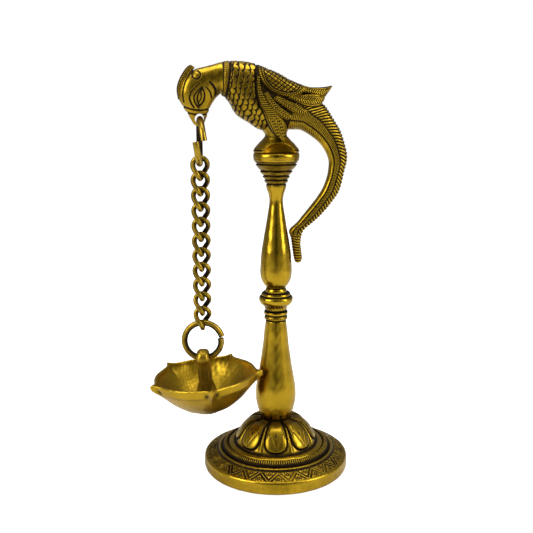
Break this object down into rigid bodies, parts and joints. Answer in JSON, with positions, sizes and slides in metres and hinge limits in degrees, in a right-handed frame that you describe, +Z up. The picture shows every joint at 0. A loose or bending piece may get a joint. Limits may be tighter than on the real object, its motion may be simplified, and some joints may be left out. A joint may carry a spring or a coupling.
{
  "type": "standing oil lamp",
  "caption": "Standing oil lamp: a peacock on a turned pillar holds a chain with a hanging five-lipped oil dish.",
  "frame": {"origin": "on the pillar's axis at the underside of the foot", "axes": "+Z up along the pillar, -X towards the bird's head and the chain, -Y the front"},
  "size_m": [0.0972, 0.073, 0.2022],
  "materials": {
    "polished_brass": "turned and polished, satin, fine lathe rings, brown patina in grooves",
    "foot_brass": "cast, turned and polished, near black patina in the chased lines",
    "cast_brass": "cast and chased by hand, satin, near black patina in the chased lines",
    "chain_brass": "drawn wire, dull olive brown tarnish, worn bright on the outer bends",
    "ring_brass": "drawn wire, dull brown tarnish",
    "dish_brass": "cast and turned, warm satin, brown stains inside",
    "lug_brass": "cast, brown patina",
    "stud_brass": "turned thread stock, hidden"
  },
  "bodies": {
    "stand": {"base": "foot_brass", "base_stud": "stud_brass", "lower_column": "polished_brass", "column_collar": "polished_brass", "centre_stud": "stud_brass", "middle_knop": "polished_brass", "upper_column": "polished_brass", "bird_stud": "stud_brass", "peacock": "cast_brass"},
    "beak_ring": {"beak_ring": "ring_brass"},
    "chain_link_01": {"chain_link_01": "chain_brass"},
    "chain_link_02": {"chain_link_02": "chain_brass"},
    "chain_link_03": {"chain_link_03": "chain_brass"},
    "chain_link_04": {"chain_link_04": "chain_brass"},
    "chain_link_05": {"chain_link_05": "chain_brass"},
    "chain_link_06": {"chain_link_06": "chain_brass"},
    "chain_link_07": {"chain_link_07": "chain_brass"},
    "chain_link_08": {"chain_link_08": "chain_brass"},
    "chain_link_09": {"chain_link_09": "chain_brass"},
    "chain_link_10": {"chain_link_10": "chain_brass"},
    "chain_link_11": {"chain_link_11": "chain_brass"},
    "dish_ring": {"dish_ring": "ring_brass"},
    "dish": {"dish": "dish_brass", "dish_lug": "lug_brass"}
  },
  "joints": [
    {"name": "beak_ring_swing", "type": "hinge", "parent": "stand", "child": "beak_ring", "pos_m": [-0.03602, -0.00648, 0.176], "axis": [-0.1771, 0.9842, 0], "range_deg": [0, 30]},
    {"name": "chain_link_01_swing", "type": "hinge", "parent": "beak_ring", "child": "chain_link_01", "pos_m": [-0.03602, -0.00648, 0.15665], "axis": [1, 0, 0], "range_deg": [-15, 0]},
    {"name": "chain_link_02_swing", "type": "hinge", "parent": "chain_link_01", "child": "chain_link_02", "pos_m": [-0.03602, -0.00648, 0.14932], "axis": [0, 1, 0], "range_deg": [0, 15]},
    {"name": "chain_link_03_swing", "type": "hinge", "parent": "chain_link_02", "child": "chain_link_03", "pos_m": [-0.03602, -0.00648, 0.14197], "axis": [1, 0, 0], "range_deg": [-15, 0]},
    {"name": "chain_link_04_swing", "type": "hinge", "parent": "chain_link_03", "child": "chain_link_04", "pos_m": [-0.03602, -0.00648, 0.13464], "axis": [0, 1, 0], "range_deg": [0, 15]},
    {"name": "chain_link_05_swing", "type": "hinge", "parent": "chain_link_04", "child": "chain_link_05", "pos_m": [-0.03602, -0.00648, 0.12729], "axis": [1, 0, 0], "range_deg": [-15, 0]},
    {"name": "chain_link_06_swing", "type": "hinge", "parent": "chain_link_05", "child": "chain_link_06", "pos_m": [-0.03602, -0.00648, 0.11996], "axis": [0, 1, 0], "range_deg": [0, 15]},
    {"name": "chain_link_07_swing", "type": "hinge", "parent": "chain_link_06", "child": "chain_link_07", "pos_m": [-0.03602, -0.00648, 0.11262], "axis": [1, 0, 0], "range_deg": [-15, 0]},
    {"name": "chain_link_08_swing", "type": "hinge", "parent": "chain_link_07", "child": "chain_link_08", "pos_m": [-0.03602, -0.00648, 0.10527], "axis": [0, 1, 0], "range_deg": [0, 15]},
    {"name": "chain_link_09_swing", "type": "hinge", "parent": "chain_link_08", "child": "chain_link_09", "pos_m": [-0.03602, -0.00648, 0.09793], "axis": [1, 0, 0], "range_deg": [-15, 0]},
    {"name": "chain_link_10_swing", "type": "hinge", "parent": "chain_link_09", "child": "chain_link_10", "pos_m": [-0.03602, -0.00648, 0.09059], "axis": [0, 1, 0], "range_deg": [0, 15]},
    {"name": "chain_link_11_swing", "type": "hinge", "parent": "chain_link_10", "child": "chain_link_11", "pos_m": [-0.03602, -0.00648, 0.08325], "axis": [1, 0, 0], "range_deg": [-15, 0]},
    {"name": "dish_ring_swing", "type": "hinge", "parent": "chain_link_11", "child": "dish_ring", "pos_m": [-0.03602, -0.00648, 0.07591], "axis": [0, 1, 0], "range_deg": [0, 15]},
    {"name": "dish_swing", "type": "hinge", "parent": "dish_ring", "child": "dish", "pos_m": [-0.03602, -0.00648, 0.05877], "axis": [1, 0, 0], "range_deg": [-20, 20]}
  ]
}
